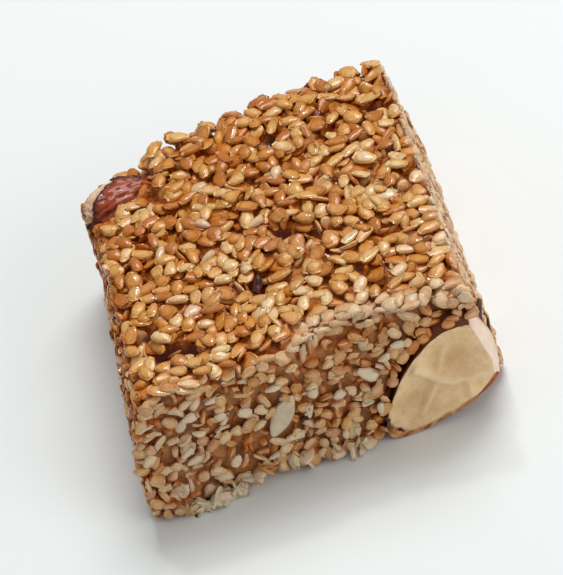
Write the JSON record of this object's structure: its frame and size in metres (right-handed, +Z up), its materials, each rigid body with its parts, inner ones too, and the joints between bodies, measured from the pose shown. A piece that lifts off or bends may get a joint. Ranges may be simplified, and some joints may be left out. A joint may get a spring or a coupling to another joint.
{
  "type": "sesame brittle slab",
  "caption": "Hand-cut rectangular slab of sesame brittle with a broken back edge and a split almond at a cut corner, lying flat.",
  "frame": {"origin": "middle of the bounding box at the base, on the surface the slab lies on", "axes": "+Z up through the thickness, +X along the front cut towards the almond corner, +Y towards the broken back edge"},
  "size_m": [0.057, 0.0597, 0.0239],
  "materials": {
    "brittle": "whole sesame seeds bound in clear amber caramel, glossy and rough; knife-cut sides duller and greyer",
    "almond_flesh": "cut almond flesh, smooth and slightly waxy",
    "nut_skin": "red-brown wrinkled nut skin under a film of caramel",
    "pale_nut": "pale cut nut, matt"
  },
  "bodies": {
    "root": {"slab": "brittle", "corner_almond": "almond_flesh", "skinned_nut": "nut_skin", "front_sliver": "pale_nut"}
  },
  "joints": []
}
